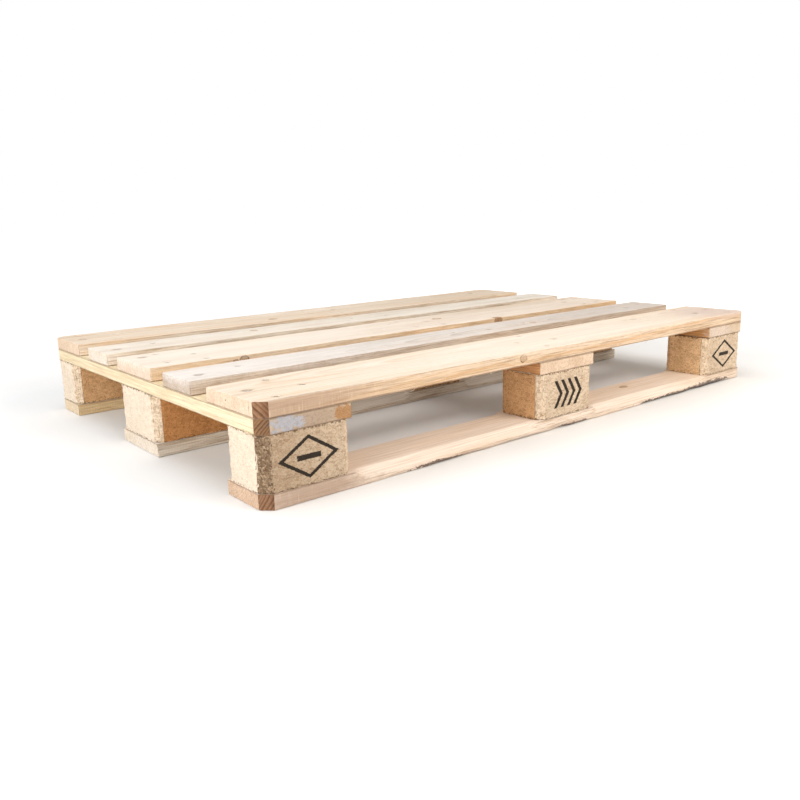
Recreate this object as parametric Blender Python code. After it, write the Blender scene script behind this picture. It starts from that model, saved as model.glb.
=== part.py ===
"""Four-way block pallet, 1200 x 800 x 144 mm: boards, stringers, pressed-wood blocks and nails.

The origin is the middle of the underside. X runs along the 1200 mm boards, Y across them and
Z up. "left" is -X, "right" is +X, "front" is -Y and "back" is +Y.
"""
from math import cos, pi, radians, sin

import bmesh
import bpy
from mathutils import Vector

# Driving dimensions, in metres.
LENGTH = 1.200
WIDTH = 0.800
BOARD_THICKNESS = 0.022
BLOCK_HEIGHT = 0.078
GAP = 0.0003            # play between two pieces that rest on or pass through each other
CORNER_CUT = 0.015      # legs of the 45 degree cut down the four corners of the pallet
BLOCK_CUT = 0.012       # legs of the 45 degree cut down the upright edges of a block

DECK_OUTER_WIDTH = 0.141
DECK_INNER_WIDTH = 0.094
DECK_CENTRE_WIDTH = 0.140
DECK_INNER_Y = 0.162    # middle of an inner deck board
STRINGER_WIDTH = 0.142
BASE_OUTER_WIDTH = 0.097
BASE_CENTRE_WIDTH = 0.141

# The long upper edges of the base boards are planed off between the blocks.
EASE_DROP = 0.014
EASE_INSET = 0.012
EASE_RUN_OUT = 0.020
ARRIS = 0.001

NAIL_SEGMENTS = 10
NAIL_SHANK = 0.0044     # diameters
NAIL_HEAD = 0.0096
NAIL_HEAD_THICKNESS = 0.0015
NAIL_TIP = 0.006
NAIL_SINK = 0.0008      # the heads are driven just below the surface
NAIL_LONG = 0.090
NAIL_SHORT = 0.040

# Levels of the four layers.
BASE_TOP = BOARD_THICKNESS
BLOCK_TOP = BASE_TOP + BLOCK_HEIGHT
STRINGER_TOP = BLOCK_TOP + BOARD_THICKNESS
DECK_TOP = STRINGER_TOP + BOARD_THICKNESS

# Columns of blocks along X and rows of blocks along Y.
OUTER_COLUMN = LENGTH / 2 - STRINGER_WIDTH / 2
OUTER_ROW = WIDTH / 2 - BASE_OUTER_WIDTH / 2
COLUMNS = {"left": -OUTER_COLUMN, "middle": 0.0, "right": OUTER_COLUMN}
ROWS = {"front": -OUTER_ROW, "centre": 0.0, "back": OUTER_ROW}
ROW_DEPTH = {"front": BASE_OUTER_WIDTH, "centre": BASE_CENTRE_WIDTH, "back": BASE_OUTER_WIDTH}

# Blocks that were nailed a little out of line with their stringer, as offsets along X.
BLOCK_SLIP = {("front", "middle"): 0.002, ("front", "right"): -0.008}

# Nails of one block and of one inner board crossing, from the middle of the crossing.
OUTER_BLOCK_NAILS = ((-0.042, 0.030), (0.032, 0.010), (-0.032, -0.028))
CENTRE_BLOCK_NAILS = ((-0.040, 0.036), (0.038, 0.006), (-0.028, -0.038))
INNER_BOARD_NAILS = ((-0.040, -0.012), (0.036, 0.010))

PALE_PINE = (0.72, 0.55, 0.37)
CREAM_PINE = (0.78, 0.62, 0.43)
GREY_PINE = (0.58, 0.51, 0.43)
PRESSED_WOOD = (0.56, 0.41, 0.25)
STEEL = (0.30, 0.28, 0.26)


def clear_scene():
    for item in list(bpy.data.objects):
        bpy.data.objects.remove(item, do_unlink=True)


def make_material(name, colour, roughness, metallic=0.0):
    material = bpy.data.materials.new(name)
    material.use_nodes = True
    shader = material.node_tree.nodes["Principled BSDF"]
    shader.inputs["Base Color"].default_value = (*colour, 1.0)
    shader.inputs["Roughness"].default_value = roughness
    shader.inputs["Metallic"].default_value = metallic
    return material


def add_object(name, mesh, location, colour, roughness, metallic=0.0):
    piece = bpy.data.objects.new(name, mesh)
    piece.location = location
    piece.data.materials.append(make_material(name + "_finish", colour, roughness, metallic))
    bpy.context.scene.collection.objects.link(piece)
    return piece


def join_rings(mesh, rings):
    """Skin a row of point rings and close both ends."""
    loops = [[mesh.verts.new(point) for point in ring] for ring in rings]
    mesh.faces.new(list(reversed(loops[0])))
    mesh.faces.new(loops[-1])
    for lower, upper in zip(loops, loops[1:]):
        for index in range(len(lower)):
            following = (index + 1) % len(lower)
            mesh.faces.new((lower[index], lower[following], upper[following], upper[index]))


def cut_pallet_corners(mesh):
    """Trim everything outside the four 45 degree planes at the corners of the pallet."""
    reach = LENGTH / 2 + WIDTH / 2 - CORNER_CUT
    for side_x in (-1, 1):
        for side_y in (-1, 1):
            outward = Vector((side_x, side_y, 0)).normalized()
            trimmed = bmesh.ops.bisect_plane(
                mesh,
                geom=mesh.verts[:] + mesh.edges[:] + mesh.faces[:],
                plane_co=(side_x * reach, 0, 0),
                plane_no=outward,
                clear_outer=True,
            )
            rim = [item for item in trimmed["geom_cut"] if isinstance(item, bmesh.types.BMEdge)]
            if rim:
                bmesh.ops.contextual_create(mesh, geom=rim)


def finish_mesh(name, mesh):
    bmesh.ops.recalc_face_normals(mesh, faces=mesh.faces)
    data = bpy.data.meshes.new(name)
    mesh.to_mesh(data)
    mesh.free()
    return data


def upright_outline(width_x, depth_y, cut):
    """Rectangle round the origin, anticlockwise, with its corners cut when cut is not 0."""
    half_x = width_x / 2
    half_y = depth_y / 2
    if not cut:
        return [(-half_x, -half_y), (half_x, -half_y), (half_x, half_y), (-half_x, half_y)]
    return [
        (-half_x, -half_y + cut), (-half_x + cut, -half_y),
        (half_x - cut, -half_y), (half_x, -half_y + cut),
        (half_x, half_y - cut), (half_x - cut, half_y),
        (-half_x + cut, half_y), (-half_x, half_y - cut),
    ]


def timber_slab(name, centre, size, low, high, cut=0.0):
    """Upright-sided timber between two levels, trimmed where the pallet corners are cut."""
    outline = upright_outline(*size, cut)
    rings = [[(centre[0] + x, centre[1] + y, z) for x, y in outline] for z in (low, high)]
    mesh = bmesh.new()
    join_rings(mesh, rings)
    cut_pallet_corners(mesh)
    return finish_mesh(name, mesh)


def base_section(x, centre_y, width, ease):
    """Cross-section of a base board; ease runs from 0 (bare arris) to 1 (planed edge)."""
    inset = ARRIS + (EASE_INSET - ARRIS) * ease
    drop = ARRIS + (EASE_DROP - ARRIS) * ease
    half = width / 2
    return [
        (x, centre_y - half, 0.0),
        (x, centre_y + half, 0.0),
        (x, centre_y + half, BASE_TOP - drop),
        (x, centre_y + half - inset, BASE_TOP),
        (x, centre_y - half + inset, BASE_TOP),
        (x, centre_y - half, BASE_TOP - drop),
    ]


def base_board(name, centre_y, width):
    """Base board, eased along both upper edges in the two bays between the blocks."""
    bay_start = STRINGER_WIDTH / 2
    bay_end = LENGTH / 2 - STRINGER_WIDTH
    half_bay = [(bay_start, 0), (bay_start + EASE_RUN_OUT, 1), (bay_end - EASE_RUN_OUT, 1), (bay_end, 0)]
    stations = [(-LENGTH / 2, 0)] + [(-x, ease) for x, ease in reversed(half_bay)]
    stations += half_bay + [(LENGTH / 2, 0)]
    mesh = bmesh.new()
    join_rings(mesh, [base_section(x, centre_y, width, ease) for x, ease in stations])
    cut_pallet_corners(mesh)
    return finish_mesh(name, mesh)


def nail_profile(length, play):
    """Radius and depth below the head's top, from the head down to the start of the point."""
    head = NAIL_HEAD / 2 + play
    shank = NAIL_SHANK / 2 + play
    neck = NAIL_HEAD_THICKNESS + play
    return [(head, 0.0), (head, neck), (shank, neck), (shank, length - NAIL_TIP)]


def add_nail_shape(mesh, at, length, play, rise):
    """Turned nail, hanging from its head; rise lifts the top of the head, for a cutter."""
    angles = [2 * pi * step / NAIL_SEGMENTS for step in range(NAIL_SEGMENTS)]
    x, y, top = at
    rings = []
    for radius, depth in nail_profile(length, play):
        height = top - depth if depth else top + rise
        rings.append([(x + radius * cos(a), y + radius * sin(a), height) for a in angles])
    loops = [[mesh.verts.new(point) for point in ring] for ring in rings]
    point = mesh.verts.new((x, y, top - length - play))
    mesh.faces.new(loops[0])
    for upper, lower in zip(loops, loops[1:]):
        for index in range(NAIL_SEGMENTS):
            following = (index + 1) % NAIL_SEGMENTS
            mesh.faces.new((upper[index], lower[index], lower[following], upper[following]))
    for index in range(NAIL_SEGMENTS):
        mesh.faces.new((loops[-1][index], point, loops[-1][(index + 1) % NAIL_SEGMENTS]))


def nail_mesh(name, length):
    mesh = bmesh.new()
    add_nail_shape(mesh, (0, 0, 0), length, play=0.0, rise=0.0)
    data = finish_mesh(name, mesh)
    data.shade_smooth()
    data.set_sharp_from_angle(angle=radians(35))
    return data


def nail_places():
    """Name, place of the head's top and length of every nail, row by row."""
    top = DECK_TOP - NAIL_SINK
    places = []
    for row, row_y in ROWS.items():
        pattern = CENTRE_BLOCK_NAILS if row == "centre" else OUTER_BLOCK_NAILS
        for column, column_x in COLUMNS.items():
            flip_x = -1 if column == "right" else 1
            flip_y = -1 if row == "back" else 1
            for number, (x, y) in enumerate(pattern, start=1):
                name = f"nail_long_{row}_{column}_{number}"
                places.append((name, (column_x + flip_x * x, row_y + flip_y * y, top), NAIL_LONG))
    for row, row_y in (("front", -DECK_INNER_Y), ("back", DECK_INNER_Y)):
        for column, column_x in COLUMNS.items():
            flip_x = -1 if column == "middle" else 1
            for number, (x, y) in enumerate(INNER_BOARD_NAILS, start=1):
                name = f"nail_short_{row}_{column}_{number}"
                places.append((name, (column_x + flip_x * x, row_y + y, top), NAIL_SHORT))
    return places


def nail_clearance(places):
    """One cutter with the hole of every nail, open at the top."""
    mesh = bmesh.new()
    for _, at, length in places:
        add_nail_shape(mesh, at, length, play=GAP, rise=0.004)
    cutter = bpy.data.objects.new("nail_clearance", finish_mesh("nail_clearance", mesh))
    bpy.context.scene.collection.objects.link(cutter)
    cutter.hide_render = True
    cutter.display_type = "WIRE"
    return cutter


def drill(piece, cutter):
    holes = piece.modifiers.new("nail_holes", "BOOLEAN")
    holes.operation = "DIFFERENCE"
    holes.object = cutter
    holes.solver = "EXACT"


def build_deck(cutter):
    outer_y = WIDTH / 2 - DECK_OUTER_WIDTH / 2
    boards = (
        ("deck_outer_front", -outer_y, DECK_OUTER_WIDTH, PALE_PINE),
        ("deck_inner_front", -DECK_INNER_Y, DECK_INNER_WIDTH, GREY_PINE),
        ("deck_centre", 0.0, DECK_CENTRE_WIDTH, CREAM_PINE),
        ("deck_inner_back", DECK_INNER_Y, DECK_INNER_WIDTH, CREAM_PINE),
        ("deck_outer_back", outer_y, DECK_OUTER_WIDTH, PALE_PINE),
    )
    for name, y, width, colour in boards:
        mesh = timber_slab(name, (0, y), (LENGTH, width), STRINGER_TOP + GAP, DECK_TOP)
        drill(add_object(name, mesh, (0, 0, 0), colour, 0.75), cutter)


def build_stringers(cutter):
    for column, x in COLUMNS.items():
        name = f"stringer_{column}"
        size = (STRINGER_WIDTH, WIDTH)
        mesh = timber_slab(name, (x, 0), size, BLOCK_TOP + GAP, STRINGER_TOP)
        drill(add_object(name, mesh, (0, 0, 0), CREAM_PINE, 0.75), cutter)


def build_blocks(cutter):
    for row, y in ROWS.items():
        for column, x in COLUMNS.items():
            name = f"block_{row}_{column}"
            centre = (x + BLOCK_SLIP.get((row, column), 0.0), y)
            size = (STRINGER_WIDTH, ROW_DEPTH[row])
            mesh = timber_slab(name, centre, size, BASE_TOP + GAP, BLOCK_TOP, BLOCK_CUT)
            drill(add_object(name, mesh, (0, 0, 0), PRESSED_WOOD, 0.85), cutter)


def build_base():
    for row, y in ROWS.items():
        name = f"base_{row}"
        add_object(name, base_board(name, y, ROW_DEPTH[row]), (0, 0, 0), PALE_PINE, 0.75)


def build_nails(places):
    meshes = {length: nail_mesh(f"nail_{round(length * 1000)}", length)
              for length in (NAIL_LONG, NAIL_SHORT)}
    for name, at, length in places:
        nail = bpy.data.objects.new(name, meshes[length])
        nail.location = at
        bpy.context.scene.collection.objects.link(nail)
    for mesh in meshes.values():
        mesh.materials.append(make_material(mesh.name + "_finish", STEEL, 0.45, 0.9))


def build_pallet():
    clear_scene()
    places = nail_places()
    cutter = nail_clearance(places)
    build_deck(cutter)
    build_stringers(cutter)
    build_blocks(cutter)
    build_base()
    build_nails(places)


build_pallet()
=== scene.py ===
"""Looks of a four-way block pallet: sawn pine boards, pressed-wood blocks and driven nails.

Each timber and block is rebuilt in fine detail on the CAD solid that it replaces. Timber is
modelled in its own frame, u along the grain, v across it and w through the thickness, so that
its shader can grow the same rings through faces and ends.
"""

import itertools
from math import cos, pi, radians, sin

import bmesh
import bpy
import numpy as np
from mathutils import Matrix, Vector


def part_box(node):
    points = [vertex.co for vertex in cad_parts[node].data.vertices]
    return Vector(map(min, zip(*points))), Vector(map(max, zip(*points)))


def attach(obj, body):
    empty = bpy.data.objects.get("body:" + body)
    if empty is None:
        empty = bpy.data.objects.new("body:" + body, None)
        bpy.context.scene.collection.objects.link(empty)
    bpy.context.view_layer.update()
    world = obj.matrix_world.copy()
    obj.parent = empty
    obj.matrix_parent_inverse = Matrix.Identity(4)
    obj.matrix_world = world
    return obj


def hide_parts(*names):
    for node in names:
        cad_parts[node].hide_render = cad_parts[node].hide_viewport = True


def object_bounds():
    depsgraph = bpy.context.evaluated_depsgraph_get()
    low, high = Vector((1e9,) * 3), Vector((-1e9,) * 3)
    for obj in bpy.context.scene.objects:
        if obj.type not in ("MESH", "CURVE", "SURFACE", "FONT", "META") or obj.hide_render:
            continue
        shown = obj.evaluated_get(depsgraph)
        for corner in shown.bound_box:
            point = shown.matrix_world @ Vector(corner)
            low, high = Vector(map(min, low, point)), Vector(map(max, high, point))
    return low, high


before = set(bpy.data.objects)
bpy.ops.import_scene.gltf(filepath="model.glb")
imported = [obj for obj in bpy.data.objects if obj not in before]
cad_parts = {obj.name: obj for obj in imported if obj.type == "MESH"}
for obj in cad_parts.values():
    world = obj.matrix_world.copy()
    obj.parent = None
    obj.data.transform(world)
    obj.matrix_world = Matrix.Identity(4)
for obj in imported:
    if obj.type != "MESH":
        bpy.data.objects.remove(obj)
CAD_BOUNDS = [list(corner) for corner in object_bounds()]

ROWS = ("front", "centre", "back")
COLUMNS = ("left", "middle", "right")
AROUND = ((-1, -1), (1, -1), (1, 1), (-1, 1))   # corners of a rectangle, anticlockwise
DOWN = (0, 0, -1)

# Construction, in metres.
CORNER_CUT = 0.015          # legs of the cut down the pallet's four corners
BLOCK_CUT = 0.012           # legs of the cut on a block's upright edges
EASE_DROP = 0.014           # planed upper edges of the base boards
EASE_INSET = 0.012
EASE_RUN_OUT = 0.02         # length over which a planed edge begins and ends
EDGE_RADIUS = 0.0011        # worn edges of the timbers, before they vary
EDGE_RADIUS_RANGE = (0.0004, 0.0092)
WANE_REACH = 0.028          # how far wane reaches in from its edge
WANE_RUN_OUT = 0.06
BOARD_BOW = 0.0004
SPLINTER_CURL = 0.0015      # how far a splinter's tip bends away
NAIL_HEAD_RADIUS = 0.0048
NAIL_SINK = 0.0008
HEAD_SEGMENTS = 20
STAIN_AMOUNTS = (1.0, 0.12, 0.22, 0.06, 0.5, 0.15, 0.35)   # of the rings round nail heads, in turn
TIMBER_GRID = (0.0045, 0.0036, 0.0026)   # mesh spacing along, across and through a timber
BLOCK_GRID = 0.0019
TIMBER_SHARP = radians(38)  # angles from which an edge is shaded as sharp
BLOCK_SHARP = radians(50)
HEAD_SHARP = radians(35)

# Wood tones, linear: early wood, late wood, the same cut across the grain.
PALE = ((0.81, 0.71, 0.6), (0.7, 0.53, 0.37), (0.74, 0.55, 0.41))
CREAM = ((0.82, 0.73, 0.57), (0.72, 0.57, 0.39), (0.77, 0.64, 0.47))
STRAW = ((0.8, 0.69, 0.48), (0.7, 0.54, 0.33), (0.75, 0.58, 0.4))
ROSY = ((0.82, 0.73, 0.64), (0.7, 0.55, 0.43), (0.72, 0.54, 0.4))
WHITE = ((0.83, 0.78, 0.71), (0.7, 0.6, 0.5), (0.76, 0.66, 0.54))
GREY = ((0.72, 0.67, 0.63), (0.45, 0.41, 0.38), (0.53, 0.39, 0.27))
HEARTWOOD = (0.76, 0.54, 0.34)
STREAK = (0.68, 0.43, 0.23)
KNOT = (0.4, 0.22, 0.11)
KNOT_RIM = (0.13, 0.065, 0.03)
BURNT = (0.014, 0.009, 0.006)
CHIP_LIGHT = (0.83, 0.71, 0.58)
CHIP_MIDDLE = (0.74, 0.59, 0.45)
CHIP_DARK = (0.52, 0.37, 0.24)
# dark of specks and pits, also painted shade in gaps and lines on the blocks
DARK_SPECK_AND_SHADE = (0.16, 0.095, 0.05)
# Painted shade: tints of the block faces inside the pallet, darker and browner; block_front_right's is
# painted light, lighter and warmer.
INNER_SHADE_TINT = (0.96, 0.7, 0.46)
INNER_SHADE_TINTS = {"block_front_right": (1.19, 1.0, 0.76), "block_centre_left": (0.84, 0.48, 0.23)}
RUST = (0.16, 0.1, 0.07)
# painted shade along edges where parts meet
SEAM_SHADE = (0.2, 0.12, 0.07)
DIRT = (0.42, 0.32, 0.25)
CHIP_CELLS = (170, 170, 300)   # chips and grains to the metre
GRAIN_CELLS = (430, 430, 560)


# ---- shapes

NOISE_TABLE = 32
NOISE_SHIFT = 0.37          # keeps the middle of a timber off the table's own grid


def smooth_noise(points, cell, seed):
    """Smooth noise from -1 to 1; cell is the size of its lumps along each axis."""
    table = np.random.default_rng(seed).uniform(-1, 1, (NOISE_TABLE,) * 3)
    place = points / np.asarray(cell) + NOISE_SHIFT
    low = np.floor(place).astype(int)
    part = place - low
    part = part * part * (3 - 2 * part)
    total = np.zeros(len(points))
    for corner in itertools.product((0, 1), repeat=3):
        weight = np.where(corner, part, 1 - part).prod(axis=1)
        at = (low + corner) % NOISE_TABLE
        total += weight * table[at[:, 0], at[:, 1], at[:, 2]]
    return total


def smooth_step(value, start, end):
    share = np.clip((value - start) / (end - start), 0, 1)
    return share * share * (3 - 2 * share)


def edge_lines(half, spacing):
    """Grid lines from -half to half, close together at both ends, where edges are rounded."""
    rim = np.array([0.0, 0.0006, 0.0014, 0.0026])
    inner = half - rim[-1]
    count = max(2, round(2 * inner / spacing) + 1)
    middle = np.linspace(-inner, inner, count)[1:-1]
    return np.concatenate([-half + rim, middle, half - rim[::-1]])


def grid_box(lines):
    """Points and outward quads of a closed box whose sides are gridded at these lines."""
    grid = np.stack(np.meshgrid(*lines, indexing="ij"), -1)
    shell = np.zeros(grid.shape[:3], bool)
    shell[[0, -1]] = True
    shell[:, [0, -1]] = True
    shell[:, :, [0, -1]] = True
    number = np.full(shell.shape, -1)
    number[shell] = np.arange(shell.sum())
    sides = (
        (number[0], True), (number[-1], False),
        (number[:, 0], False), (number[:, -1], True),
        (number[:, :, 0], True), (number[:, :, -1], False),
    )
    quads = []
    for side, turned in sides:
        quad = np.stack([side[:-1, :-1], side[1:, :-1], side[1:, 1:], side[:-1, 1:]], -1)
        quads.append(quad.reshape(-1, 4)[:, ::-1] if turned else quad.reshape(-1, 4))
    return grid[shell], np.concatenate(quads)


def round_edges(points, half, radius):
    """Round the edges of a box; also gives each point's direction out of the surface."""
    inner = half - radius[:, None]
    core = np.clip(points, -inner, inner)
    outward = points - core
    outward /= np.linalg.norm(outward, axis=1)[:, None]
    return core + outward * radius[:, None], outward


def plane_off(points, position, normal, amount):
    """Push back what stands out past a plane; amount from 0 to 1 sinks the plane in place."""
    above = (points - position) @ np.asarray(normal)
    return points - np.outer(np.clip(above, 0, None) * amount, normal)


def link(item):
    bpy.context.scene.collection.objects.link(item)


def new_mesh(name, points, faces):
    mesh = bpy.data.meshes.new(name)
    mesh.from_pydata([tuple(point) for point in points], [], [tuple(face) for face in faces])
    return mesh


def finished_mesh(name, mesh):
    """A mesh from a bmesh, with all its faces turned outward."""
    bmesh.ops.recalc_face_normals(mesh, faces=mesh.faces)
    data = bpy.data.meshes.new(name)
    mesh.to_mesh(data)
    mesh.free()
    return data


def add_piece(name, mesh, material, place=None, replaced=None):
    """Link a mesh as a piece of the object, riding on it with its own material."""
    piece = bpy.data.objects.new(name, mesh)
    link(piece)
    if place is not None:
        piece.matrix_world = place
    piece.data.materials.clear()
    piece.data.materials.append(material)
    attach(piece, "root")
    if replaced:
        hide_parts(replaced)
    return piece


def cut_pallet_corners(mesh, place):
    """Saw off what lies outside the cuts at the pallet's corners."""
    reach = CAD_BOUNDS[1][0] + CAD_BOUNDS[1][1] - CORNER_CUT
    back = place.inverted()
    for side_x, side_y in itertools.product((-1, 1), repeat=2):
        normal = Vector((side_x, side_y, 0)).normalized()
        cut = bmesh.ops.bisect_plane(
            mesh,
            geom=mesh.verts[:] + mesh.edges[:] + mesh.faces[:],
            plane_co=back @ Vector((side_x * reach, 0, 0)),
            plane_no=back.to_3x3() @ normal,
            clear_outer=True,
        )
        rim = [item for item in cut["geom_cut"] if isinstance(item, bmesh.types.BMEdge)]
        if rim:
            bmesh.ops.contextual_create(mesh, geom=rim)


def turned_mesh(mesh, at, profile, upward):
    """Add a turned body to a bmesh; the profile runs from its top middle to its lower middle."""
    x, y, z = at
    rings = []
    for radius, height in profile:
        if radius == 0:
            rings.append([mesh.verts.new((x, y, z + upward * height))])
            continue
        ring = []
        for step in range(HEAD_SEGMENTS):
            angle = 2 * pi * step / HEAD_SEGMENTS
            ring.append(mesh.verts.new((x + radius * cos(angle), y + radius * sin(angle),
                                        z + upward * height)))
        rings.append(ring)
    for upper, lower in zip(rings, rings[1:]):
        for step in range(HEAD_SEGMENTS):
            following = (step + 1) % HEAD_SEGMENTS
            corners = [upper[step % len(upper)], lower[step % len(lower)],
                       lower[following % len(lower)], upper[following % len(upper)]]
            corners = list(dict.fromkeys(corners))
            if len(corners) > 2:
                mesh.faces.new(corners)


# ---- nails

OUTER_BLOCK_NAILS = ((-0.042, 0.03), (0.032, 0.01), (-0.032, -0.028))
CENTRE_BLOCK_NAILS = ((-0.04, 0.036), (0.038, 0.006), (-0.028, -0.038))
OUTER_STRINGER_NAIL = (0.012, 0.074)
CENTRE_STRINGER_NAILS = ((0.034, -0.05), (-0.01, 0.052))


def middle_of(node):
    low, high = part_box(node)
    return (low + high) / 2


def cad_nail_places():
    return [middle_of(name).xy for name in sorted(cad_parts) if name.startswith("nail_")]


def stringer_nail_places():
    """Short nails of the outer and centre deck boards, which have no CAD node."""
    places = []
    for column, row in itertools.product(COLUMNS, ROWS):
        crossing = Vector((middle_of(f"stringer_{column}").x, middle_of(f"base_{row}").y))
        turn = Vector((-1 if column == "right" else 1, -1 if row == "back" else 1))
        for nail in CENTRE_STRINGER_NAILS if row == "centre" else (OUTER_STRINGER_NAIL,):
            places.append(crossing + Vector(nail) * turn)
    return places


def base_nail_places(row):
    """Nails driven up through a base board into its three blocks."""
    pattern = CENTRE_BLOCK_NAILS if row == "centre" else OUTER_BLOCK_NAILS
    places = []
    for column in COLUMNS:
        block = middle_of(f"block_{row}_{column}").xy
        turn = Vector((1, -1) if column == "middle" else (-1, 1))
        places += [block + Vector(nail) * turn for nail in pattern]
    return places


def nail_pits(places, level, upward):
    """Cutter with the crushed hollow that each head is driven into."""
    mesh = bmesh.new()
    profile = [(0, 0.001), (NAIL_HEAD_RADIUS + 0.0024, 0.001), (NAIL_HEAD_RADIUS + 0.0016, -0.0002),
               (NAIL_HEAD_RADIUS + 0.0004, -0.0013), (0, -0.0014)]
    for place in places:
        turned_mesh(mesh, (*place, level), profile, upward)
    return bpy.data.objects.new("nail_pits", finished_mesh("nail_pits", mesh))


def sink_pits(mesh, place, places, level, upward):
    """The mesh with its nail pits cut; places are in the pallet's frame."""
    board = bpy.data.objects.new("board", mesh)
    board.matrix_world = place
    cutter = nail_pits(places, level, upward)
    link(board)
    link(cutter)
    pits = board.modifiers.new("pits", "BOOLEAN")
    pits.operation = "DIFFERENCE"
    pits.object = cutter
    pits.solver = "EXACT"
    bpy.context.view_layer.update()
    result = bpy.data.meshes.new_from_object(board.evaluated_get(bpy.context.evaluated_depsgraph_get()))
    for item in (board, cutter):
        bpy.data.objects.remove(item)
    return result


def add_nail_heads(name, places, level, upward, material):
    """Round heads, a little domed, of nails whose shanks are out of sight."""
    mesh = bmesh.new()
    profile = [(0, 0.0002), (NAIL_HEAD_RADIUS * 0.6, 0.0001), (NAIL_HEAD_RADIUS - 0.0004, 0),
               (NAIL_HEAD_RADIUS, -0.0004), (NAIL_HEAD_RADIUS, -0.0012), (0.0022, -0.0015), (0, -0.003)]
    for place in places:
        turned_mesh(mesh, (*place, level - upward * NAIL_SINK), profile, upward)
    data = finished_mesh(name, mesh)
    data.shade_smooth()
    data.set_sharp_from_angle(angle=HEAD_SHARP)
    return add_piece(name, data, material)


# ---- shader helpers

class Graph:
    """A material and short names for the nodes used here."""

    def __init__(self, name):
        self.material = bpy.data.materials.new(name)
        self.material.use_nodes = True
        self.tree = self.material.node_tree
        self.shader = self.tree.nodes["Principled BSDF"]

    def add(self, kind, inputs, **settings):
        node = self.tree.nodes.new(kind)
        for key, value in settings.items():
            setattr(node, key, value)
        for key, value in inputs.items():
            if isinstance(value, bpy.types.NodeSocket):
                self.tree.links.new(value, node.inputs[key])
            else:
                node.inputs[key].default_value = value
        return node

    def math(self, operation, first, second=0.0, third=0.0):
        return self.add("ShaderNodeMath", {0: first, 1: second, 2: third}, operation=operation).outputs[0]

    def times(self, first, second):
        return self.math("MULTIPLY", first, second)

    def plus(self, first, second):
        return self.math("ADD", first, second)

    def minus(self, first, second):
        return self.math("SUBTRACT", first, second)

    def larger(self, first, second):
        return self.math("MAXIMUM", first, second)

    def absolute(self, value):
        return self.math("ABSOLUTE", value)

    def line(self, value, slope, offset):
        """The value times slope, plus offset."""
        return self.math("MULTIPLY_ADD", value, slope, offset)

    def pile(self, height, *layers):
        """A height with layers added on it, each as its own height and weight."""
        for layer, weight in layers:
            height = self.line(layer, weight, height)
        return height

    def vector(self, operation, first, second):
        return self.add("ShaderNodeVectorMath", {0: first, 1: second}, operation=operation).outputs[0]

    def place(self):
        """Where a point is on its own object."""
        return self.add("ShaderNodeTexCoord", {}).outputs["Object"]

    def normal(self):
        """Which way the surface faces, axis by axis."""
        return self.split(self.add("ShaderNodeNewGeometry", {}).outputs["True Normal"])

    def squares(self, first, second):
        return self.plus(self.math("POWER", first, 2.0), self.math("POWER", second, 2.0))

    def length(self, vector):
        return self.add("ShaderNodeVectorMath", {0: vector}, operation="LENGTH").outputs["Value"]

    def split(self, vector):
        return self.add("ShaderNodeSeparateXYZ", {0: vector}).outputs[:]

    def join(self, x, y, z):
        return self.add("ShaderNodeCombineXYZ", {0: x, 1: y, 2: z}).outputs[0]

    def noise(self, vector, stretch=(1, 1, 1), detail=2.0, roughness=0.5):
        scaled = self.vector("MULTIPLY", vector, stretch)
        return self.add("ShaderNodeTexNoise", {"Vector": scaled, "Scale": 1.0, "Detail": detail,
                                               "Roughness": roughness}).outputs[0]

    def sway(self, vector, stretch, detail, width, roughness=0.5):
        """Noise round zero, from minus to plus half of its width."""
        return self.times(self.minus(self.noise(vector, stretch, detail, roughness), 0.5), width)

    def cells(self, vector, stretch, feature="F1"):
        scaled = self.vector("MULTIPLY", vector, stretch)
        return self.add("ShaderNodeTexVoronoi", {"Vector": scaled, "Scale": 1.0}, feature=feature)

    def step(self, value, start, end, low=0.0, high=1.0):
        """Smooth change from low to high while value goes from start to end."""
        inputs = {"Value": value, "From Min": start, "From Max": end, "To Min": low, "To Max": high}
        return self.add("ShaderNodeMapRange", inputs, interpolation_type="SMOOTHSTEP").outputs[0]

    def ramp(self, value, stops):
        node = self.add("ShaderNodeValToRGB", {0: value})
        band = node.color_ramp
        while len(band.elements) < len(stops):
            band.elements.new(0.5)
        for element, (position, colour) in zip(band.elements, stops):
            element.position = position
            shade = colour if isinstance(colour, tuple) else (colour,) * 3
            element.color = (*shade, 1.0)
        return node.outputs[0]

    def mix(self, share, first, second, blend="MIX"):
        colours = [(*c, 1.0) if isinstance(c, tuple) else c for c in (first, second)]
        inputs = {0: share, 6: colours[0], 7: colours[1]}
        return self.add("ShaderNodeMix", inputs, data_type="RGBA", blend_type=blend).outputs[2]

    def tint(self, colour, tone, share=1.0):
        """The colour multiplied by a tone."""
        return self.mix(share, colour, tone, "MULTIPLY")

    def finish(self, colour, roughness, height, depth, strength=0.9):
        """Wire the surface; height runs from 0 to 1 over depth metres."""
        links = self.tree.links
        bump = self.add("ShaderNodeBump", {"Height": height, "Distance": depth, "Strength": strength})
        links.new(colour, self.shader.inputs["Base Color"])
        links.new(roughness, self.shader.inputs["Roughness"])
        links.new(bump.outputs[0], self.shader.inputs["Normal"])
        self.shader.inputs["Specular IOR Level"].default_value = 0.28
        return self.material


# ---- timber

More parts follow.
